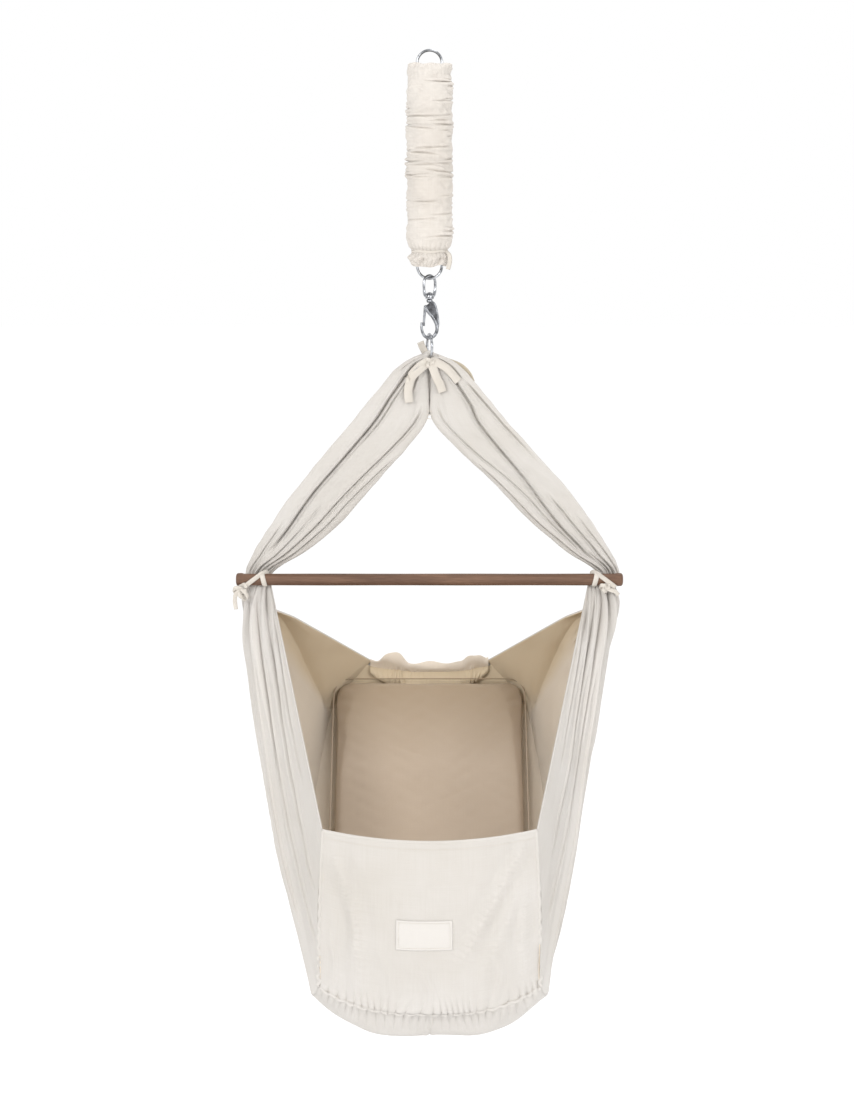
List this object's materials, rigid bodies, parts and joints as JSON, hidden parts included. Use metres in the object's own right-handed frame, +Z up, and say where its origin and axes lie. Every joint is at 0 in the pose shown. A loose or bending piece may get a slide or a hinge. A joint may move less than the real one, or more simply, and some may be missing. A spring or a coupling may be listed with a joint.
{
  "type": "spring baby hammock",
  "caption": "Cloth baby hammock with an inclined pad, hung by a wooden spreader bar, snap hook and covered extension spring.",
  "frame": {"origin": "hang point, at the inside top of the ceiling ring", "axes": "+Z up, +X along the spreader bar, -Y towards the front panel"},
  "size_m": [0.721, 0.7169, 1.7605],
  "materials": {
    "polished_steel": "polished, light machining marks",
    "spring_steel": "satin drawn wire",
    "cover_canvas": "plain-woven cotton canvas, gathered",
    "tape": "twill tape and webbing",
    "canvas": "plain-woven cotton canvas",
    "lining": "soft beige cotton lining",
    "walnut": "oiled walnut",
    "mattress_cloth": "quilted beige cotton over soft filling",
    "label": "blank satin label"
  },
  "bodies": {
    "ceiling": {"ceiling_ring": "polished_steel"},
    "spring": {"coil_spring": "spring_steel", "spring_cover": "cover_canvas", "safety_strap": "tape", "cover_tie": "tape"},
    "spring_foot": {"lower_ring": "polished_steel"},
    "swivel": {"swivel_eye": "polished_steel"},
    "hook": {"hook_body": "polished_steel", "swivel_rivet": "polished_steel", "gate_pin": "polished_steel"},
    "gate": {"gate_lever": "polished_steel"},
    "ring": {"hammock_ring": "polished_steel"},
    "hammock": {"apex_cloth": "canvas", "left_arm_cloth": "canvas", "right_arm_cloth": "canvas", "apex_tape_left": "tape", "apex_tape_right": "tape", "apex_tape_back": "tape", "spreader_bar": "walnut", "left_bar_tie": "tape", "right_bar_tie": "tape", "left_bar_knot": "tape", "right_bar_knot": "tape", "left_bar_tail": "tape", "right_bar_tail": "tape", "left_wall": "canvas", "right_wall": "canvas", "left_lining": "lining", "right_lining": "lining", "front_panel": "canvas", "front_lining": "lining", "base_panel": "canvas", "rear_casing": "lining", "rear_elastic": "tape", "rear_ruffle_left": "canvas", "rear_ruffle_right": "canvas", "mattress": "mattress_cloth", "front_label": "label"}
  },
  "joints": [
    {"name": "spring_swing", "type": "hinge", "parent": "ceiling", "child": "spring", "pos_m": [0, 0, -0.0425], "axis": [1, 0, 0], "range_deg": [-20, 20]},
    {"name": "spring_stretch", "type": "slide", "parent": "spring", "child": "spring_foot", "axis": [0, 0, -1], "range_m": [0, 0.2], "stiffness_N_per_m": 940, "springref_m": -0.08, "deforming": ["coil_spring", "spring_cover", "safety_strap", "cover_tie"]},
    {"name": "hook_sway", "type": "hinge", "parent": "spring_foot", "child": "swivel", "pos_m": [0, 0, -0.4095], "axis": [1, 0, 0], "range_deg": [-15, 15]},
    {"name": "hook_swivel", "type": "hinge", "parent": "swivel", "child": "hook", "pos_m": [0, 0, -0.447], "axis": [0, 0, 1], "continuous": true},
    {"name": "gate_hinge", "type": "hinge", "parent": "hook", "child": "gate", "pos_m": [-0.008, 0, -0.464], "axis": [0, -1, 0], "range_deg": [0, 16], "stiffness_Nm_per_rad": 0.05, "springref_deg": -20.05},
    {"name": "ring_swing", "type": "hinge", "parent": "hook", "child": "ring", "pos_m": [0, 0, -0.516], "axis": [1, 0, 0], "range_deg": [-12, 12]},
    {"name": "cradle_tilt", "type": "hinge", "parent": "ring", "child": "hammock", "pos_m": [0, 0, -0.5565], "axis": [-0.1987, 0.9801, 0], "range_deg": [-10, 10]}
  ]
}
